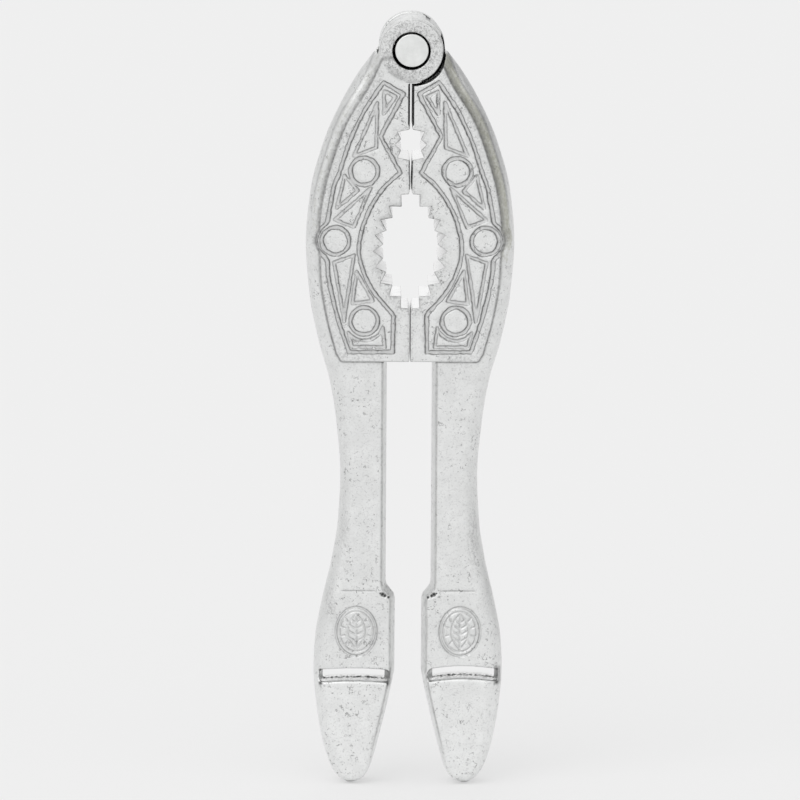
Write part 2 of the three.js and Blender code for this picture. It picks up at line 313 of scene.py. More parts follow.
class Plan:
    """The sample points of one lever's plane, and distances measured in that plane."""

    def __init__(self, low, high, step):
        self.low = np.array(low, float)
        self.step = np.array(step, float)
        self.x, self.y, self.z = (
            np.arange(a, b + s, s, dtype=np.float32) for a, b, s in zip(low, high, step)
        )
        self.shape = (len(self.x), len(self.y))

    def window(self, axis, low, high):
        return slice(*np.searchsorted(axis, (low, high)))

    def near_lines(self, lines, reach):
        """Distance to the nearest of several open lines of points, up to reach."""
        near = np.full(self.shape, reach * reach, np.float32)
        for line in lines:
            for (ax, ay), (bx, by) in zip(line, line[1:]):
                i = self.window(self.x, min(ax, bx) - reach, max(ax, bx) + reach)
                j = self.window(self.y, min(ay, by) - reach, max(ay, by) + reach)
                px, py = self.x[i, None] - ax, self.y[None, j] - ay
                ex, ey = bx - ax, by - ay
                t = np.clip((px * ex + py * ey) / max(ex * ex + ey * ey, 1e-9), 0, 1)
                np.minimum(near[i, j], (px - t * ex) ** 2 + (py - t * ey) ** 2, out=near[i, j])
        return np.sqrt(near)

    def outline(self, points, reach=5.0):
        """Distance to a closed outline, up to reach, and negative inside it."""
        closed = list(points) + [points[0]]
        inside = np.zeros(self.shape, bool)
        for (ax, ay), (bx, by) in zip(closed, closed[1:]):
            j = self.window(self.y, min(ay, by), max(ay, by))
            if ay != by:
                crossing = ax + (self.y[j] - ay) * (bx - ax) / (by - ay)
                inside[:, j] ^= self.x[:, None] < crossing[None, :]
        near = self.near_lines([closed], reach)
        return np.where(inside, -near, near)

    def noise(self, rng, size):
        """Smooth random height with features of about the given size, and a spread of 1."""
        fx = np.fft.fftfreq(self.shape[0], self.step[0])[:, None]
        fy = np.fft.rfftfreq(self.shape[1], self.step[1])[None, :]
        keep = np.exp(-2 * (math.pi * size) ** 2 * (fx**2 + fy**2))
        out = np.fft.irfft2(np.fft.rfft2(rng.standard_normal(self.shape)) * keep, self.shape)
        return (out / out.std()).astype(np.float32)

    def sample(self, plane, x, y):
        """The plane's values at points, between its samples."""
        i = np.clip((x - self.low[0]) / self.step[0], 0, self.shape[0] - 1.001)
        j = np.clip((y - self.low[1]) / self.step[1], 0, self.shape[1] - 1.001)
        a, b = i.astype(int), j.astype(int)
        u, v = i - a, j - b
        return (
            plane[a, b] * (1 - u) * (1 - v) + plane[a + 1, b] * u * (1 - v)
            + plane[a, b + 1] * (1 - u) * v + plane[a + 1, b + 1] * u * v
        )


def join(a, b, round_):
    """Both solids, with a fillet between them."""
    return np.minimum(a, b) - np.maximum(round_ - np.abs(a - b), 0) ** 2 / (4 * round_)


def keep(a, b, round_):
    """What is inside both, with a rounded edge between them."""
    return np.maximum(a, b) + np.maximum(round_ - np.abs(a - b), 0) ** 2 / (4 * round_)


def step_down(value, low, high):
    """1 below low, 0 above high, and smooth between."""
    t = np.clip((value - low) / (high - low), 0, 1)
    return 1 - t * t * (3 - 2 * t)


def groove(distance, half_width, depth):
    """The depth of a flat-bottomed engraved line, with a wall 0.3 mm wide."""
    return depth * step_down(distance, half_width - 0.16, half_width + 0.14)


def surface(field, low, step):
    """The zero level of a field as vertices and four-cornered faces that look outwards."""
    inside = field < 0
    corners = [(i, j, k) for i in (0, 1) for j in (0, 1) for k in (0, 1)]
    size = tuple(n - 1 for n in field.shape)
    count = np.zeros(size, np.uint8)
    for i, j, k in corners:
        count += inside[i:i + size[0], j:j + size[1], k:k + size[2]]
    cells = np.argwhere((count > 0) & (count < 8))
    number = np.full(size, -1, np.int32)
    number[tuple(cells.T)] = np.arange(len(cells))
    total = np.zeros((len(cells), 3))
    crossings = np.zeros(len(cells))
    for a in corners:
        for axis in range(3):
            if a[axis]:
                continue
            b = tuple(c + (n == axis) for n, c in enumerate(a))
            fa, fb = field[tuple((cells + a).T)], field[tuple((cells + b).T)]
            crosses = (fa < 0) != (fb < 0)
            t = np.where(crosses, fa / np.where(crosses, fa - fb, 1), 0)
            total += crosses[:, None] * np.array(a, float)
            total[:, axis] += crosses * t
            crossings += crosses
    vertices = (cells + total / crossings[:, None]) * step + low
    faces = []
    for axis in range(3):
        u, v = [(1, 2), (2, 0), (0, 1)][axis]
        first = np.take(inside, range(size[axis]), axis)
        second = np.take(inside, range(1, size[axis] + 1), axis)
        edges = np.argwhere(first != second)
        along_u, along_v = edges[:, u], edges[:, v]
        edges = edges[(along_u > 0) & (along_v > 0) & (along_u < size[u]) & (along_v < size[v])]
        leaves = first[tuple(edges.T)]
        ring = []
        for du, dv in ((-1, -1), (0, -1), (0, 0), (-1, 0)):
            cell = edges.copy()
            cell[:, u] += du
            cell[:, v] += dv
            ring.append(number[tuple(cell.T)])
        ring = np.stack(ring, 1)
        ring[~leaves] = ring[~leaves][:, ::-1]
        faces.append(ring)
    return vertices, np.vstack(faces)


# ---------------------------------------------------------------- the lever's plan

def lever_plan():
    low = (-8.6, -PIVOT_HEIGHT - 1, -8.0)
    high = (24.6, 8.4, 8.0)
    return Plan(low, high, STEP)


def silhouette(keys, far, below=0.0):
    """An outline from (y, x) keys down one edge of the lever, closed a long way to one side."""
    y = np.concatenate([np.linspace(keys[0][0], -160, 160), np.linspace(-160.4, keys[-1][0], 24)])
    edge = list(zip(profile(keys, y), y))
    end = keys[-1][0] - below
    return [(far, keys[0][0]), *edge, (keys[-1][1], end), (far, end)]


def panel_outline():
    """The head panel, with a bulge round the boss that sits on its edge."""
    bulge = arc(BOSSES[1], PANEL_ROUND_BOSS, 33, -36)
    outer = through(PANEL_EDGE) + bulge + through(PANEL_EDGE_LOWER)
    corner = arc((15.0, PANEL_BOTTOM + 0.9), 0.9, -10, -90, 5)
    return [(-2.0, -1.5), *outer, *corner, (-2.0, PANEL_BOTTOM)]


def border_line():
    """The engraved line that runs round the panel."""
    inner = [(6.3, -7.0), (1.8, -9.7), (6.9, -19.4)]
    bowl = through([
        (2.4, -27.8), (5.9, -31.0), (9.0, -35.6), (11.0, -40.8), (11.7, -45.7), (10.8, -50.2),
        (8.3, -55.2), (4.2, -60.0),
    ])
    foot = [(3.8, -60.8), (3.9, -69.1), (13.8, -69.1)]
    outer = through([(13.8, -69.1), (16.2, -62.1), (18.3, -53.4), (18.9, -48.0)])
    bulge = arc(BOSSES[1], BORDER_ROUND_BOSS, -58, 58)
    top = through([(18.9, -39.2), (17.4, -31.1), (16.2, -27.8), (13.8, -20.4), (10.5, -13.4), (6.3, -7.0)])
    return inner + bowl + foot + outer + bulge + top


def small_fields():
    """The closed engraved lines between the bosses and the border."""
    corners = [
        [(6.1, -9.0), (3.6, -10.3), (6.2, -14.3)],
        [(7.7, -11.7), (7.9, -22.0), (12.9, -23.9)],
        [(15.0, -28.5), (12.0, -31.9), (16.7, -35.9)],
        [(9.2, -31.4), (17.2, -38.6), (12.9, -40.3)],
        [(17.3, -48.5), (12.8, -46.8), (15.0, -62.0)],
        [(12.2, -50.5), (8.5, -57.3), (13.1, -57.9)],
    ]
    lines = [c + c[:1] for c in corners]
    crescent = arc(BOSSES[2], 4.5, -37, -160, 10)
    return lines + [[*crescent, (5.7, -67.9), (13.2, -67.9), crescent[0]]]


def medallion_lines():
    """A plain leaf in an oval ring, the same on both grips."""
    (cx, cy), (rx, ry) = MEDALLION_CENTRE, MEDALLION_RADII
    ring = [arc((cx, cy), (rx * k, ry * k), 0, 360, 48) for k in (1.0, 0.82)]
    half = [(0.0, -0.74), (0.34, -0.34), (0.42, 0.06), (0.28, 0.44), (0.0, 0.72)]
    leaf = []
    for side in (-1, 1):
        leaf.append(through([(cx + side * x * rx, cy + y * ry) for x, y in half]))
        for y in (-0.42, -0.16, 0.1, 0.34):
            tip = (0.34 - 0.25 * max(y - 0.06, 0)) * rx
            leaf.append([(cx, cy + y * ry), (cx + side * tip, cy + (y + 0.17) * ry)])
    midrib = [(cx, cy - 0.8 * ry), (cx, cy + 0.6 * ry)]
    flutes = []
    for angle in range(15, 361, 30):
        a = math.radians(angle)
        if abs(math.cos(a)) > 0.3:
            flutes.append([(cx + rx * k * math.cos(a), cy + ry * k * math.sin(a)) for k in (0.58, 0.82)])
    return ring, leaf + [midrib] + flutes


class LeverShape:
    """One lever's relief maps and its field of distances."""

    def __init__(self, plan, left):
        self.plan, self.left = plan, left
        self.side = "left" if left else "right"
        self.rng = np.random.default_rng(SEED + left)
        self.draw_relief()

    def draw_relief(self):
        plan = self.plan
        border = plan.near_lines([border_line()], LINE_REACH)
        bosses = plan.near_lines([arc(b, BOSS_GROOVE_RADIUS, 0, 360, 40) for b in BOSSES], LINE_REACH)
        fields = plan.near_lines(small_fields(), LINE_REACH)
        uneven = self.uneven(GROOVE_WANDER)
        wide = groove(np.minimum(border, bosses) + uneven, GROOVE_HALF_WIDTH, GROOVE_DEPTH)
        narrow = groove(fields + uneven, FIELD_GROOVE_HALF_WIDTH, GROOVE_DEPTH * 0.8)
        self.relief = np.maximum(wide, narrow)
        if self.left:
            # The knuckle's ring stays marked for a short way across the left panel.
            ring = plan.near_lines([arc((0, RING_RISE), RING_FACE_RADIUS - 0.15, -70, -43)], LINE_REACH)
            self.relief = np.maximum(self.relief, groove(ring, 0.14, 0.2))
        rings, leaf = medallion_lines()
        self.medal = np.maximum(
            groove(plan.near_lines(rings[:1], 1.0), 0.24, MEDALLION_DEPTH),
            groove(plan.near_lines(rings[1:] + leaf, 1.0), 0.17, MEDALLION_DEPTH * 0.8),
        )
        self.swell = self.uneven(BROAD_SWELL) + self.uneven(FINE_SWELL)
        self.swell_back = self.uneven(BROAD_SWELL) + self.uneven(FINE_SWELL)

    def uneven(self, skin):
        size, height = skin
        return self.plan.noise(self.rng, size) * height

    def body(self, z, swell):
        """The lever outside its head panel: rounded shoulder, leaning inner wall, flat faces."""
        plan, y = self.plan, self.plan.y
        outer = plan.outline(silhouette(OUTER_EDGE, -60.0))[:, :, None]
        inner = plan.outline(silhouette(INNER_EDGE, 60.0, below=6.0))[:, :, None]
        shoulder = profile(SHOULDER, y).astype(np.float32)[None, :, None]
        depth = profile(HALF_DEPTH, y)[None, :] - self.medal - self.creases(inner[:, :, 0])
        sides = [(depth + s).astype(np.float32)[:, :, None] for s in swell]
        depth = np.where(z > 0, *sides)
        over = np.maximum(outer + shoulder, 0) / shoulder
        reach = np.sqrt(over**2 + (z / depth) ** 2)
        slope = np.sqrt((over / shoulder) ** 2 + (z / depth**2) ** 2) + 1e-6
        shell = np.where(reach < 0.3, -2.0, (reach - 1) * reach / slope)
        lean = profile(INNER_LEAN, y).astype(np.float32)[None, :, None]
        edge = profile(EDGE_ROUND, y).astype(np.float32)[None, :, None]
        return keep(shell, inner + lean * np.abs(z), edge)

    def creases(self, inner):
        """Fine lines in the face: along the drafted inner wall's edge, and across the top of the grip."""
        x, y = self.plan.x[:, None], self.plan.y[None, :]
        edge = profile(INNER_LEAN, self.plan.y) * profile(HALF_DEPTH, self.plan.y)
        from_edge = (inner + edge[None, :] + EDGE_CREASE_INSET) / EDGE_CREASE
        along = EDGE_CREASE * np.exp(-(from_edge**2)) * step_down(y, PANEL_BOTTOM - 0.3, PANEL_BOTTOM)
        along = along * step_down(-y, 156.0, 166.0)
        middle, height = GRIP_CREASE
        across = CREASE_DEPTH * np.exp(-(((y - height) / CREASE_DEPTH) ** 2))
        return along + across * step_down(np.abs(x - middle), 3.2, 4.4)

    def field(self):
        plan = self.plan
        x, y = plan.x[:, None, None], plan.y[None, :, None]
        z = plan.z[None, None, :]
        deep = np.abs(z)
        front = z > 0
        swell = np.where(front, self.swell[:, :, None], self.swell_back[:, :, None])
        body = self.body(z, (self.swell, self.swell_back))
        slope = profile(PANEL_SLOPE, plan.y).astype(np.float32)[None, :, None]
        below_face = np.minimum(HEAD_HALF_DEPTH - deep, PANEL_RISE)
        panel_wall = plan.outline(panel_outline())[:, :, None] - slope * below_face
        panel_wall = panel_wall / np.sqrt(1 + slope**2)
        rise = np.clip(swell, -0.1, 0.1) / 2
        face = deep - (HEAD_HALF_DEPTH - PANEL_INSET - self.relief[:, :, None] + rise)
        panel = keep(panel_wall, face, PANEL_EDGE_ROUND)
        cove = profile(COVE, plan.y).astype(np.float32)[None, :, None]
        lever = join(body, panel, cove)
        if self.left:
            deepest = HEAD_HALF_DEPTH - RING_INSET
            ring = self.disc(z, -deepest, deepest, lean=KNUCKLE_LEAN, centre=(0.0, RING_RISE))
            lever = join(lever, ring, 0.3)
        lever = self.closing_faces(lever, x, y, deep)
        lever = self.holes(lever, deep)
        lever = self.slot(lever, x, y, z)
        lever = self.knuckle(lever, z)
        return np.maximum(lever, deep - (HEAD_HALF_DEPTH - 0.01))

    def disc(self, z, low, high, radius=KNUCKLE_RADIUS, edge=0.14, lean=0.0, centre=(0.0, 0.0)):
        """A disc on the pivot axis, or near it, between two depths."""
        x, y = self.plan.x[:, None, None] - centre[0], self.plan.y[None, :, None] - centre[1]
        side = np.hypot(x, y) - radius + lean * np.abs(z)
        return keep(side, np.abs(z - (low + high) / 2) - (high - low) / 2, edge)

    def closing_faces(self, lever, x, y, deep):
        throat = THROAT_X - CLOSING_X + THROAT_LEAN * deep
        throat = throat * step_down(-y, -THROAT_BOTTOM - 0.4, -THROAT_BOTTOM + 0.6)
        wear_and_painted_light = WORN_BACK * np.maximum(deep - WORN_FROM_DEPTH, 0)
        wear_and_painted_light = wear_and_painted_light * step_down(np.abs(y - WORN_MIDDLE), 2.5, 5.0)
        parted = PARTED * step_down(np.abs(y - PARTED_MIDDLE), 1.5, 4.5)
        wall = CLOSING_X + throat + wear_and_painted_light + parted - x
        from_axis = np.hypot(x, y)
        if self.left:
            # The ring crosses the closing line, so the wall starts below it.
            wall = np.where(from_axis < KNUCKLE_RADIUS, -5.0, wall)
        return keep(lever, wall, 0.2)

    def holes(self, lever, deep):
        lean = HOLE_LEAN * (HEAD_HALF_DEPTH - deep)
        for hole in (SMALL_HOLE, LARGE_HOLE):
            cut = self.plan.outline(toothed_outline(**hole))[:, :, None] + lean
            lever = keep(lever, -cut, HOLE_EDGE_ROUND)
        return lever

    def slot(self, lever, x, y, z):
        """The opener slot, with a ragged parting line on its lower wall; also the pits by the grip."""
        deep = np.abs(z)
        cx, cy = SLOT_CENTRES[self.side]
        across = (x - cx) / SLOT_HALF_WIDTH
        up = y - cy - SLOT_ARCH[self.side] * (1 - across**2)
        places = np.arange(-10, 30, BURR_SPACING)
        rag = np.interp(self.plan.x, places, self.rng.random(len(places)))[:, None, None]
        burr = (BURR_LEAST + BURR_SPREAD * rag) * np.exp(-((z / BURR_THICKNESS) ** 2)) * (up < 0)
        corner = SLOT_CORNER + SLOT_CORNER_LEAN * deep
        beyond = np.abs(x - cx) - SLOT_HALF_WIDTH - SLOT_END_LEAN * deep + corner
        lean = np.where(up < 0, SLOT_LOWER_LEAN, SLOT_UPPER_LEAN)
        above = np.abs(up) - SLOT_HALF_HEIGHT - lean * deep + burr + corner
        cut = np.hypot(np.maximum(beyond, 0), np.maximum(above, 0)) + np.minimum(np.maximum(beyond, above), 0)
        lever = keep(lever, corner - cut, np.where(up < 0, SLOT_LOWER_LIP, SLOT_UPPER_LIP))
        for px, py, radius in CORNER_PITS:
            pit = np.sqrt((x - px) ** 2 + (y - py) ** 2 + (deep - PIT_DEPTH) ** 2) - radius
            lever = keep(lever, -pit, 0.15)
        return lever

    def knuckle(self, lever, z):
        open_end = HEAD_HALF_DEPTH + 4
        clear = KNUCKLE_RADIUS + KNUCKLE_CLEARANCE
        if self.left:
            gap = self.disc(z, REAR_EAR_INNER, FRONT_EAR_INNER, clear, KNUCKLE_EDGE)
            lever = keep(lever, -gap, 0.12)
        else:
            crescent = (CRESCENT_OFFSET, -CRESCENT_OFFSET)
            half = TONGUE_HALF_DEPTH
            for low, high in ((half, open_end), (-open_end, -half)):
                lever = keep(lever, -self.disc(z, low, high, clear, KNUCKLE_EDGE), 0.15)
                hollow = self.disc(z, low, high, CRESCENT_RADIUS, KNUCKLE_EDGE, 0.0, crescent)
                lever = keep(lever, -hollow, 0.15)
            tongue = self.disc(z, -half, half, TONGUE_RADIUS, KNUCKLE_EDGE, 0.0, TONGUE_OFFSET)
            lever = join(lever, tongue, KNUCKLE_EDGE)
        rise = RING_RISE if self.left else 0.0
        from_axis = np.hypot(self.plan.x[:, None], self.plan.y[None, :] - rise)[:, :, None]
        chamfer = np.maximum(np.abs(z) - (HEAD_HALF_DEPTH - BORE_CHAMFER), 0)
        bore = BORE_RADIUS + chamfer - from_axis
        if self.left:
            from_pin = np.hypot(self.plan.x[:, None] + PIN_OFFSET[0], self.plan.y[None, :] - PIN_OFFSET[1])
            bore = np.where(z < REAR_EAR_INNER, REAR_BORE_RADIUS - from_pin[:, :, None], bore)
        return keep(lever, bore, KNUCKLE_EDGE)


# ---------------------------------------------------------------- meshes

def mesh_object(name, vertices, faces, smooth=True):
    mesh = bpy.data.meshes.new(name)
    mesh.vertices.add(len(vertices))
    mesh.vertices.foreach_set("co", np.ascontiguousarray(vertices, np.float32).ravel())
    corners = faces.shape[1]
    mesh.loops.add(faces.size)
    mesh.loops.foreach_set("vertex_index", np.ascontiguousarray(faces, np.int32).ravel())
    mesh.polygons.add(len(faces))
    mesh.polygons.foreach_set("loop_start", np.arange(0, faces.size, corners, dtype=np.int32))
    mesh.update(calc_edges=True)
    mesh.validate()
    mesh.polygons.foreach_set("use_smooth", np.full(len(mesh.polygons), smooth))
    made = bpy.data.objects.new(name, mesh)
    bpy.context.scene.collection.objects.link(made)
    return made


def thin_out(thing, triangles):
    """Takes triangles off the flat stretches until about that many are left."""
    now = 2 * len(thing.data.polygons)
    if now <= triangles:
        return
    modifier = thing.modifiers.new("thin", "DECIMATE")
    modifier.ratio = triangles / now
    modifier.use_collapse_triangulate = True
    graph = bpy.context.evaluated_depsgraph_get()
    thinner = bpy.data.meshes.new_from_object(thing.evaluated_get(graph))
    thing.modifiers.clear()
    old, thing.data = thing.data, thinner
    bpy.data.meshes.remove(old)
    thinner.polygons.foreach_set("use_smooth", np.ones(len(thinner.polygons), bool))


def to_row(vertices, left):
    """From a lever's own millimetres to the row frame, in metres."""
    x, y, z = vertices.T
    return np.stack([-x if left else x, -z, y + PIVOT_HEIGHT], 1) * MM


def from_row(points, left):
    x, y, z = points.T / MM
    return (-x if left else x), z - PIVOT_HEIGHT, -y


def store(thing, name, values):
    attribute = thing.data.attributes.new(name, "FLOAT", "POINT")
    attribute.data.foreach_set("value", values.astype(np.float32))


def bold_lines(relief, plan):
    """Painted shade on a relief's walls: how steep the relief is, with the walls that face outwards drawn
    more strongly.
    """
    across, along = np.gradient(relief, plan.step[0], plan.step[1])
    steep = np.hypot(across, along)
    return steep * (0.58 + 0.42 * across / np.maximum(steep, 1e-6))


def near(value, centre, reach):
    """1 where the value is at the centre, falling smoothly to 0 at reach on both sides."""
    return step_down(np.abs(value - centre), 0.0, reach)


def painted_gap_shade(x, y, z, side):
    """Painted shade in the narrow gaps, where shade falls: round the bore, on the throat's walls, on the
    hollow beside the ring, along the layer line, in the corner pits and at the slot's corners and ends; a
    painted contact shadow round each foot; and the painted shade along the ragged burr on each slot's lower
    wall.
    """
    deep = np.abs(z)
    radius = np.hypot(x, y)
    below_face = step_down(deep, HEAD_HALF_DEPTH - 0.2, HEAD_HALF_DEPTH - 0.05)
    rise = RING_RISE if side == "left" else 0.0
    gap = (np.hypot(x, y - rise) < BORE_RADIUS + 0.06) * below_face
    throat_wall = THROAT_X + THROAT_LEAN * deep + 0.12
    throat = (x < throat_wall) * (y < -KNUCKLE_RADIUS) * (y > THROAT_BOTTOM + 0.3) * below_face
    gap = np.maximum(gap, THROAT_DARK * throat * (1 - step_down(deep, 3.6, 5.0)))
    if side == "right":
        hollow = np.hypot(x - CRESCENT_OFFSET, y + CRESCENT_OFFSET)
        on_ring = np.abs(radius - KNUCKLE_RADIUS - KNUCKLE_CLEARANCE) < 0.15
        wall = on_ring | ((radius > KNUCKLE_RADIUS - 0.4) & (hollow < CRESCENT_RADIUS - 0.1))
        gap = np.maximum(gap, wall * (deep > TONGUE_HALF_DEPTH - 0.3) * (y < 1.0) * below_face)
    gap = np.maximum(gap, layer_line_shade(x, y, z, side))
    for px, py, size in CORNER_PITS:
        pit = step_down(np.hypot(x - px, y - py), size * 0.4, size * 1.15) * (deep < PIT_DEPTH + 0.1)
        gap = np.maximum(gap, PIT_DARK * pit)
    cx, cy = SLOT_CENTRES[side]
    for end in (-1, 1):
        for lip in (-1, 1):
            corner = np.hypot(x - cx - end * (SLOT_HALF_WIDTH + 0.6), y - cy - lip * 1.5 + 0.1)
            corner = SLOT_CORNER_DARK * step_down(corner, 0.2, 0.6)
            gap = np.maximum(gap, corner * (deep > 1.0) * (deep < 4.5))
    east = (cx - x) if side == "left" else (x - cx)
    end_wall = (east > SLOT_HALF_WIDTH - 0.1) * (np.abs(y - cy) < 2.2)
    end_wall = end_wall * step_down(east, 8.2, 8.7) * (deep < 4.55)
    gap = np.maximum(gap, SLOT_END_DARK * end_wall)
    over = np.abs(x - cx) < SLOT_HALF_WIDTH
    arch = SLOT_ARCH[side] * (1 - ((x - cx) / SLOT_HALF_WIDTH) ** 2)
    # Painted shade on the slot's lower wall, along its burr.
    burr = near(y, cy + arch - SLOT_HALF_HEIGHT + 0.1, 0.9) * step_down(deep, 0.9, 2.0) * over
    # A painted contact shadow round the bottom of each tip.
    foot = step_down(y + PIVOT_HEIGHT, 0.3, 0.9) * (1 - step_down(deep, 1.0, 2.6))
    return np.clip(np.maximum(gap, FOOT_SHADOW_DARK * foot), 0, 1), burr


def layer_line_shade(x, y, z, side):
    """Painted shade: the black line round the ring's right side, where the tongue lies in front of the rear
    ear.
    """
    east = -x if side == "left" else x
    angle = np.degrees(np.arctan2(y, east))
    front = np.interp(angle, (25.0, 66.0), (3.6, -3.4))
    inside = (angle > -6.0) & (angle < 68.0) & (z > front - 1.7) & (z < front)
    return inside * (np.hypot(x, y) > 6.9)


def stains(plan, x, y, deep, left):
    """Where the casting skin is pitted and grey: rims, jaws, the ring round the pin, and the grip's side."""
    on_top = step_down(HEAD_HALF_DEPTH - deep, 0.1, 0.4)
    radius = np.hypot(x, y)
    from_panel = plan.sample(plan.outline(panel_outline()), x, y)
    large, small = (from_hole(plan, hole, x, y) for hole in (LARGE_HOLE, SMALL_HOLE))
    jaw = step_down(large, 0.1, 2.2) * (0.45 + 0.55 * step_down(y, -52.0, -46.0))
    out = np.maximum(jaw, step_down(small, 0.1, 1.8) * 0.8)
    out = np.maximum(out, step_down(x, 0.3, 1.6) * near(y, -28.0, 5.5))
    out = np.maximum(out, step_down(x, 0.3, 1.4) * near(y, -66.0, 9.0) * 0.8)
    out = np.maximum(out, near(from_panel, -0.8, 1.4) * (x > 6) * 0.7)
    out = out * (radius > KNUCKLE_RADIUS)
    ring = np.hypot(x, y - RING_RISE)
    on_ring = (ring < RING_FACE_RADIUS - 0.1) * (0.75 + 0.6 * step_down(ring, BORE_RADIUS, 6.0))
    out = np.maximum(out, on_ring) * on_top
    grip = near(np.hypot((x - 17.6) / 1.6, (y + 128.0) / 5.0), 0.0, 1.2)
    neck = near(np.hypot((x - 14.6) / 1.8, (y + 112.0) / 12.0), 0.0, 1.2)
    side = np.maximum(grip * (1.0 if left else 0.35), neck * (0.4 if left else 0.7)) * (deep > 3.0)
    return np.clip(np.maximum(out, side), 0, 1.3)


def from_hole(plan, hole, x, y):
    """How far points are from a nut hole's edge, and negative inside the hole."""
    return plan.sample(plan.outline(toothed_outline(**hole)), x, y)


def notches(plan, x, y, deep):
    """Painted shade in the roots of the large hole's notches: darkest at its top, none at its bottom."""
    hole = LARGE_HOLE
    centre = hole["half_width"] - hole["arc_radius"]
    root = np.hypot(x - centre, y - hole["centre"]) - hole["arc_radius"] + hole["depth"]
    wall = np.abs(from_hole(plan, hole, x, y)) < 0.2 + HOLE_LEAN * deep
    height = np.clip((y - hole["centre"] + hole["half_height"] * 0.7) / (hole["half_height"] * 1.2), 0, 1)
    return wall * np.clip(root / hole["depth"], 0, 1) * height * (deep < WALL_HALF_DEPTH) * (x > 0.5)


def painted_rim_shade(plan, x, y, deep, left):
    """Painted shade along the front and back rims of the nut holes: widest on the large hole's upper left."""
    small, large = (from_hole(plan, hole, x, y) for hole in (SMALL_HOLE, LARGE_HOLE))
    broken = 0.6 + 0.4 * np.sin(2.9 * y) * np.sin(1.3 * y + (0.5 if left else 2.0))
    rim = near(small, 0.05, 0.3) * 0.7 + near(large, 0.05, 0.28) * (0.75 if left else 0.5)
    if left:
        rim = rim + 0.55 * step_down(large, 0.1, 0.9) * near(y, -37.5, 6.0) * (x > 1.0)
    return rim * broken * (deep > 6.55) * (x > 0.4)


def smooth_painted_pale_walls(plan, x, y, deep, side):
    """The walls of the slot and of the nut holes: smoother than the outside, and painted pale, as painted
    light, so that they read bright.
    """
    cx, cy = SLOT_CENTRES[side]
    wide = np.abs(x - cx) < SLOT_HALF_WIDTH - 0.2 + SLOT_END_LEAN * deep
    out = wide * (np.abs(y - cy - 0.4) < SLOT_HALF_HEIGHT + 0.7) * step_down(deep, 3.0, 4.0)
    for hole in (LARGE_HOLE, SMALL_HOLE):
        out = np.maximum(out, (from_hole(plan, hole, x, y) < 0.25) * (deep < WALL_HALF_DEPTH))
    return out


def paint(made, shape):
    """Stores the painted shade, the painted light and the casting's own stains and grooves, for its material.
    """
    plan, left = shape.plan, shape.left
    points = np.zeros(len(made.data.vertices) * 3, np.float32)
    made.data.vertices.foreach_get("co", points)
    x, y, z = from_row(points.reshape(-1, 3), left)
    deep = np.abs(z)
    on_top = step_down(HEAD_HALF_DEPTH - deep, 0.75, 1.1)
    from_panel = plan.sample(plan.outline(panel_outline()), x, y)
    # All the 'line' paint is painted shade: on the walls of the engraved lines, the medallion and the
    # creases, along the panel's edge and the channel's outer edge, on the holes' rims and round the ring's
    # front edge.
    engraved = plan.sample(bold_lines(shape.relief, plan), x, y) * on_top * (from_panel < -0.05) / 1.1
    marks = plan.sample(bold_lines(shape.medal, plan), x, y) / 1.3
    inner = plan.outline(silhouette(INNER_EDGE, 60.0, below=6.0))
    creased = plan.sample(shape.creases(inner), x, y) / CREASE_DEPTH * (deep > 3.9) * (y < -71.0)
    edge = near(from_panel, 0.22, 0.5) * (deep > 5.0) * (x > 0.5)
    rear = near(from_panel, 2.15, 0.35) * step_down(-y, 30.0, 42.0) * (x > 8.0)
    rear = rear * REAR_LINE_DARK[shape.side]
    lines = engraved + marks + CREASE_DARK * creased + PANEL_EDGE_DARK * edge + rear
    lines = lines + painted_rim_shade(plan, x, y, deep, left)
    if left:
        rim = near(np.hypot(x, y - RING_RISE), RING_FACE_RADIUS + 0.02, 0.24) * (deep > 6.86)
        rim = rim * (np.arctan2(y, -x) > math.radians(-100)) * ((x < 5.0) | (y > -2.0))
        lines = lines + RING_EDGE_DARK * rim
    store(made, "line", np.clip(lines, 0, 1))
    store(made, "floor", np.clip(plan.sample(shape.relief, x, y) / GROOVE_DEPTH, 0, 1) * on_top)
    # Painted shade in the channel beside the head panel, stronger on the right lever, which faces away from
    # the light.
    channel = step_down(from_panel, 1.8, 2.4) * (from_panel > 0) * step_down(-y, 38.0, 58.0)
    channel = channel * step_down(deep, 6.6, 6.95) * (deep > 2.0) * (x > 6.0)
    store(made, "channel", channel * CHANNEL_DARK[shape.side])
    # Painted shade in the narrow gaps and notch roots, a painted contact shadow at each foot, and painted
    # shade on each slot's burr.
    gap, burr = painted_gap_shade(x, y, z, shape.side)
    store(made, "gap", np.maximum(gap, NOTCH_DARK * notches(plan, x, y, deep)))
    store(made, "burr", burr)
    store(made, "stain", stains(plan, x, y, deep, left))
    # Painted light: the slot's and holes' walls are painted pale so that they read bright; they are also
    # smoother.
    store(made, "smooth_and_painted_pale", smooth_painted_pale_walls(plan, x, y, deep, shape.side))
    # Painted light: the metal is painted paler towards the tips.
    store(made, "wear_and_painted_light", 1.0 - step_down(-y, 128.0, 165.0))


def lever(name, plan, left):
    shape = LeverShape(plan, left)
    vertices, faces = surface(shape.field(), plan.low, plan.step)
    if left:
        faces = faces[:, ::-1]
    made = mesh_object(name, to_row(vertices, left), faces)
    thin_out(made, LEVER_TRIANGLES)
    paint(made, shape)
    return made


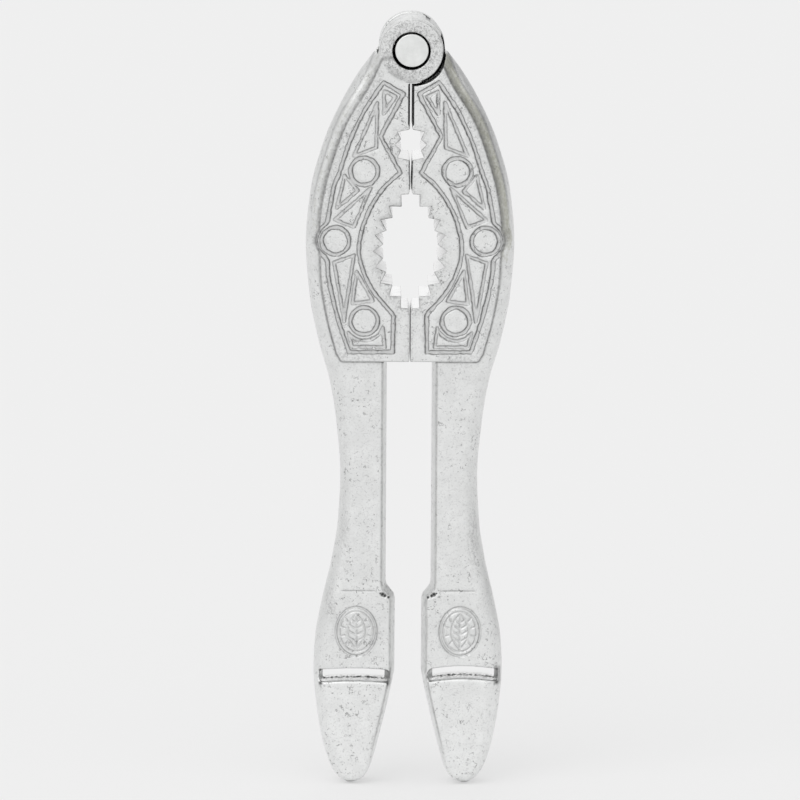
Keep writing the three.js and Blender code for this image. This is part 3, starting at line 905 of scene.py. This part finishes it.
def pivot_pin(name):
    """A plain pin with softly rounded ends."""
    round_ = 0.3
    end = PIN_HALF_LENGTH
    corner = arc((PIN_RADIUS - round_, end - round_), round_, 90, 0, 6)
    half = [(0.0, end - 0.05), (1.2, end - 0.03), (2.4, end - 0.02), *corner]
    side = [(PIN_RADIUS, end * k) for k in (0.6, 0.2)]
    whole = half + side + [(r, -h) for r, h in reversed(half + side)]
    sides = 96
    vertices, faces = [], []
    for r, h in whole[1:-1]:
        for i in range(sides):
            a = 2 * math.pi * i / sides
            vertices.append((r * math.cos(a), -h, r * math.sin(a)))
    rows = len(whole) - 2
    for j in range(rows - 1):
        for i in range(sides):
            k = (i + 1) % sides
            faces.append((j * sides + i, j * sides + k, (j + 1) * sides + k, (j + 1) * sides + i))
    front, back = len(vertices), len(vertices) + 1
    vertices += [(0, -whole[0][1], 0), (0, -whole[-1][1], 0)]
    mesh = bpy.data.meshes.new(name)
    last = (rows - 1) * sides
    for i in range(sides):
        k = (i + 1) % sides
        faces.append((front, k, i))
        faces.append((back, last + i, last + k))
    centre = (PIN_OFFSET[0], 0, PIVOT_HEIGHT + PIN_OFFSET[1])
    mesh.from_pydata([tuple((a + b) * MM for a, b in zip(v, centre)) for v in vertices], [], faces)
    mesh.polygons.foreach_set("use_smooth", np.ones(len(mesh.polygons), bool))
    made = bpy.data.objects.new(name, mesh)
    bpy.context.scene.collection.objects.link(made)
    return made


# ---------------------------------------------------------------- materials

def plug(tree, node, inputs):
    """Gives each input its constant, or its link from another node."""
    for key, value in inputs.items():
        if isinstance(value, bpy.types.NodeSocket):
            tree.links.new(value, node.inputs[key])
        else:
            node.inputs[key].default_value = value


class Nodes:
    """Short names for building a material's nodes."""

    def __init__(self, name):
        self.material = bpy.data.materials.new(name)
        self.material.use_nodes = True
        self.tree = self.material.node_tree
        self.shader = self.tree.nodes["Principled BSDF"]

    def add(self, kind, inputs=None, **settings):
        node = self.tree.nodes.new(kind)
        for key, value in settings.items():
            setattr(node, key, value)
        plug(self.tree, node, inputs or {})
        return node

    def link(self, socket, name):
        self.tree.links.new(socket, self.shader.inputs[name])

    def attribute(self, name):
        return self.add("ShaderNodeAttribute", attribute_name=name).outputs["Fac"]

    def noise(self, scale, detail=3.0, roughness=0.55):
        where = self.add("ShaderNodeTexCoord").outputs["Object"]
        inputs = {"Vector": where, "Scale": scale, "Detail": detail, "Roughness": roughness}
        return self.add("ShaderNodeTexNoise", inputs).outputs["Fac"]

    def ramp(self, value, low, high, from_, to):
        inputs = {"Value": value, "From Min": low, "From Max": high, "To Min": from_, "To Max": to}
        return self.add("ShaderNodeMapRange", inputs).outputs["Result"]

    def math(self, operation, a, b):
        return self.add("ShaderNodeMath", {0: a, 1: b}, operation=operation).outputs[0]

    def times(self, a, b):
        return self.math("MULTIPLY", a, b)

    def mix(self, factor, a, b):
        inputs = {0: factor, 6: a, 7: b}
        return self.add("ShaderNodeMix", inputs, data_type="RGBA").outputs[2]


def grey(value, warmth=0.0):
    return (value * (1 + warmth), value, value * (1 - warmth), 1.0)


def pits(n, scale, share, size):
    """Scattered dark pits: round spots in a share of random cells."""
    where = n.add("ShaderNodeTexCoord").outputs["Object"]
    shaken = n.add("ShaderNodeTexNoise", {"Vector": where, "Scale": scale * 2.5}).outputs["Color"]
    moved = n.add("ShaderNodeVectorMath", {0: shaken, "Scale": 0.35 / scale}, operation="SCALE").outputs[0]
    spot = n.add("ShaderNodeVectorMath", {0: where, 1: moved}, operation="ADD").outputs[0]
    cells = n.add("ShaderNodeTexVoronoi", {"Vector": spot, "Scale": scale})
    chance = n.add("ShaderNodeSeparateColor", {"Color": cells.outputs["Color"]}).outputs["Red"]
    chosen = n.ramp(chance, 1 - share, 1 - share + 0.05, 0.0, 1.0)
    return n.times(n.ramp(cells.outputs["Distance"], size, size * 0.45, 0.0, 1.0), chosen)


def squiggles(n, scale, width, rarity):
    """Short curved hairlines: the level lines of a noise, broken up by a second one."""
    off_level = n.math("ABSOLUTE", n.math("SUBTRACT", n.noise(scale, 2.0, 0.5), 0.5), 0.0)
    line = n.ramp(off_level, width, width * 0.3, 0.0, 1.0)
    return n.times(line, n.ramp(n.noise(scale * 0.83, 1.0, 0.5), rarity, rarity + 0.03, 0.0, 1.0))


def ragged(n, mask, scale, reach):
    """The mask with torn edges."""
    torn = n.math("ADD", mask, n.ramp(n.noise(scale, 4.0, 0.7), 0.3, 0.7, -reach, reach))
    return n.times(n.ramp(torn, 0.35, 0.6, 0.0, 1.0), n.ramp(mask, 0.0, 0.1, 0.0, 1.0))


def cast_aluminium(name):
    """Tumbled cast aluminium: fine-grained satin with pits and stains; painted shade makes it dark in gaps
    and grey in lines and channels, and painted light makes it paler on the slot's and holes' walls and
    towards the tips.
    """
    n = Nodes(name)
    n.shader.inputs["Metallic"].default_value = 1.0
    pale = (*CAST_TINT, 1.0)
    dull = (*(c * DULLED for c in CAST_TINT), 1.0)
    mottle = n.ramp(n.noise(300.0, 5.0, 0.65), 0.38, 0.66, 0.0, 0.6)
    # The random mottle, and painted light that makes the metal paler towards the tips.
    color = n.mix(n.math("ADD", mottle, n.times(n.attribute("wear_and_painted_light"), 0.6)), dull, pale)
    grain = n.noise(2600.0, 3.0, 0.7)
    color = n.mix(n.ramp(grain, 0.54, 0.7, 0.0, 0.5), color, grey(GRAIN_GREY))
    patches = n.ramp(n.noise(130.0, 3.0), 0.42, 0.6, 0.3, 1.0)
    spots = n.math("MAXIMUM", pits(n, 1300.0, 0.16, 0.26), pits(n, 700.0, 0.08, 0.2))
    spots = n.math("MAXIMUM", spots, squiggles(n, 1100.0, 0.035, 0.58))
    spots = n.math("MAXIMUM", spots, squiggles(n, 450.0, 0.012, 0.63))
    spots = n.times(spots, patches)
    color = n.mix(n.times(spots, SPOT_STRENGTH), color, grey(SPOT_GREY))
    rough_skin = n.ramp(n.noise(1700.0, 4.0, 0.7), 0.46, 0.6, 0.1, 1.0)
    stained = n.times(n.attribute("stain"), rough_skin)
    color = n.mix(n.times(stained, STAIN_STRENGTH), color, grey(STAIN_GREY))
    # Painted shade in the channel beside the head panel, in olive grey, torn and scaled by noise.
    channel = ragged(n, n.attribute("channel"), 900.0, 0.3)
    scaled = n.ramp(n.noise(1400.0, 4.0, 0.7), 0.35, 0.65, 0.5, 1.0)
    shade = n.times(n.times(channel, scaled), n.attribute("channel"))
    color = n.mix(shade, color, CHANNEL_SHADE_OLIVE)
    color = n.mix(n.times(n.attribute("floor"), GROOVE_STRENGTH), color, grey(GROOVE_GREY))
    # Painted shade in the lines, broken up by noise.
    wear_and_painted_light = n.ramp(n.noise(1300.0, 3.0, 0.6), 0.35, 0.6, 1.0, 0.6)
    color = n.mix(n.times(n.attribute("line"), wear_and_painted_light), color, grey(LINE_SHADE_GREY))
    # Painted light: the walls of the slot and the holes painted pale so that they read bright.
    color = n.mix(n.attribute("smooth_and_painted_pale"), color, grey(PAINTED_PALE_WALL_GREY))
    # Painted shade on each slot's lower wall, along its ragged burr.
    burr = n.times(n.attribute("burr"), n.ramp(n.noise(1500.0, 2.0), 0.4, 0.56, 0.2, 1.0))
    color = n.mix(burr, color, grey(BURR_SHADE_GREY))
    # Painted shade in the gaps, pits, corners and notch roots, and a painted contact shadow at each foot.
    color = n.mix(n.attribute("gap"), color, grey(GAP_SHADE_GREY))
    n.link(color, "Base Color")
    rough = n.ramp(n.noise(700.0, 3.0), 0.3, 0.7, *CAST_ROUGHNESS)
    rough = n.math("MAXIMUM", rough, n.times(n.attribute("gap"), GAP_ROUGHNESS))
    n.link(n.times(rough, n.ramp(n.attribute("smooth_and_painted_pale"), 0.0, 1.0, 1.0, RAW_SMOOTHING)), "Roughness")
    height = n.math("SUBTRACT", n.noise(2200.0, 3.0, 0.65), n.times(spots, 0.7))
    height = n.math("SUBTRACT", height, n.times(stained, 0.5))
    strength = n.ramp(n.attribute("smooth_and_painted_pale"), 0.0, 1.0, CAST_BUMP, RAW_BUMP)
    bump = n.add("ShaderNodeBump", {"Height": height, "Strength": strength, "Distance": CAST_BUMP_HEIGHT})
    n.link(bump.outputs["Normal"], "Normal")
    return n.material


def pin_metal(name):
    """The pin's drawn bar: smoother than the castings, with faint marks."""
    n = Nodes(name)
    n.shader.inputs["Metallic"].default_value = 1.0
    mottle = n.ramp(n.noise(500.0, 3.0), 0.35, 0.7, 0.0, 1.0)
    n.link(n.mix(mottle, PIN_DULL, PIN_BRIGHT), "Base Color")
    n.link(n.ramp(n.noise(1200.0, 2.0), 0.3, 0.7, *PIN_ROUGHNESS), "Roughness")
    marks = {"Height": n.noise(1800.0, 2.0), "Strength": PIN_BUMP, "Distance": PIN_BUMP_HEIGHT}
    bump = n.add("ShaderNodeBump", marks)
    n.link(bump.outputs["Normal"], "Normal")
    return n.material


# ---------------------------------------------------------------- stage, light and camera

BACKGROUND = 0.855
FLOOR_HALF_WIDTH = 40.0  # metres
FLOOR_GREY = 0.45
FLOOR_GLOW = 0.409

# The room's brightness, and how much is taken off it or added towards each side.
ROOM_STRENGTH = 0.85
ROOM_LEVEL = 1.16
LESS_TO_RIGHT = 0.3
LESS_TO_LEFT = 0.2
LESS_BEHIND_RIGHT = 1.2
LESS_BEHIND_LEFT = 0.5
MORE_ABOVE = 0.15
KEY_STRENGTH = 0.42
KEY_SPREAD = 50  # degrees
KEY_TILT = 48
KEY_TURN = -38


def floor():
    """A plain pale floor, far wider than the view, which gives off some light of its own."""
    half = FLOOR_HALF_WIDTH
    corners = np.array([(-half, -half, 0), (half, -half, 0), (half, half, 0), (-half, half, 0)])
    made = mesh_object("floor", corners, np.array([[0, 1, 2, 3]]), smooth=False)
    material = bpy.data.materials.new("pale_floor")
    material.use_nodes = True
    shader = material.node_tree.nodes["Principled BSDF"]
    shader.inputs["Base Color"].default_value = (FLOOR_GREY, FLOOR_GREY, FLOOR_GREY, 1)
    shader.inputs["Emission Color"].default_value = (1, 1, 1, 1)
    shader.inputs["Emission Strength"].default_value = FLOOR_GLOW
    shader.inputs["Roughness"].default_value = 0.9
    shader.inputs["Specular IOR Level"].default_value = 0.0
    made.data.materials.append(material)


def studio_light():
    """An even bright room, darker to the sides, with a broad soft light high on the left."""
    world = bpy.data.worlds.new("studio")
    bpy.context.scene.world = world
    world.use_nodes = True
    tree = world.node_tree
    nodes, links = tree.nodes, tree.links
    nodes.clear()
    out = nodes.new("ShaderNodeOutputWorld")
    room = nodes.new("ShaderNodeBackground")
    seen = nodes.new("ShaderNodeBackground")
    seen.inputs["Color"].default_value = (BACKGROUND, BACKGROUND, BACKGROUND, 1)
    path = nodes.new("ShaderNodeLightPath")
    either = nodes.new("ShaderNodeMixShader")
    links.new(path.outputs["Is Camera Ray"], either.inputs[0])
    links.new(room.outputs[0], either.inputs[1])
    links.new(seen.outputs[0], either.inputs[2])
    links.new(either.outputs[0], out.inputs["Surface"])
    where = nodes.new("ShaderNodeTexCoord")
    split = nodes.new("ShaderNodeSeparateXYZ")
    links.new(where.outputs["Generated"], split.inputs[0])

    def math_node(operation, a, b):
        node = nodes.new("ShaderNodeMath")
        node.operation = operation
        plug(tree, node, {0: a, 1: b})
        return node.outputs[0]

    right = math_node("MAXIMUM", split.outputs["X"], 0.0)
    left = math_node("MAXIMUM", math_node("MULTIPLY", split.outputs["X"], -1.0), 0.0)
    upwards = math_node("MAXIMUM", split.outputs["Z"], 0.0)
    behind = math_node("MAXIMUM", split.outputs["Y"], 0.0)
    level = ROOM_LEVEL
    for towards, change in (
        (right, -LESS_TO_RIGHT),
        (left, -LESS_TO_LEFT),
        (math_node("MULTIPLY", right, behind), -LESS_BEHIND_RIGHT),
        (math_node("MULTIPLY", left, behind), -LESS_BEHIND_LEFT),
        (upwards, MORE_ABOVE),
    ):
        level = math_node("ADD", level, math_node("MULTIPLY", towards, change))
    links.new(level, room.inputs["Color"])
    room.inputs["Strength"].default_value = ROOM_STRENGTH
    sun = bpy.data.lights.new("key", "SUN")
    sun.energy = KEY_STRENGTH
    sun.angle = math.radians(KEY_SPREAD)
    key = bpy.data.objects.new("key", sun)
    key.rotation_euler = (math.radians(KEY_TILT), 0, math.radians(KEY_TURN))
    bpy.context.scene.collection.objects.link(key)


VIEW_YAW = -0.7  # degrees, towards +X
VIEW_ELEVATION = 10.3
VIEW_ROLL = 0.33
VIEW_DISTANCE = 4.0  # metres
VIEW_WIDTH = 0.1818  # metres across the frame at the aim point
AIM = Vector((-0.002163, CAD_LOW.y, 0.0897))


def camera():
    data = bpy.data.cameras.new("camera")
    made = bpy.data.objects.new("camera", data)
    bpy.context.scene.collection.objects.link(made)
    a, e = math.radians(VIEW_YAW), math.radians(VIEW_ELEVATION)
    back = Vector((math.sin(a) * math.cos(e), -math.cos(a) * math.cos(e), math.sin(e)))
    turn = (-back).to_track_quat("-Z", "Y").to_matrix() @ Matrix.Rotation(math.radians(VIEW_ROLL), 3, "Z")
    made.matrix_world = Matrix.Translation(AIM + back * VIEW_DISTANCE) @ turn.to_4x4()
    data.lens = data.sensor_width * VIEW_DISTANCE / VIEW_WIDTH
    data.clip_start, data.clip_end = 0.05, 100.0
    bpy.context.scene.camera = made


# ---------------------------------------------------------------- the model

def build():
    plan = lever_plan()
    left = lever("left_lever_cast", plan, left=True)
    right = lever("right_lever_cast", plan, left=False)
    pin = pivot_pin("pivot_pin_turned")
    metal = cast_aluminium("cast_aluminium")
    for piece, body, node, material, slot in (
        (left, "left", "left_lever", metal, "cast_aluminium"),
        (right, "right", "right_lever", metal, "cast_aluminium"),
        (pin, "left", "pivot_pin", pin_metal("pin_aluminium"), "pin_aluminium"),
    ):
        piece.data.materials.append(material)
        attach(piece, body)
        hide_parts(node)


bpy.context.scene.view_settings.view_transform = "Standard"
build()
floor()
studio_light()
camera()
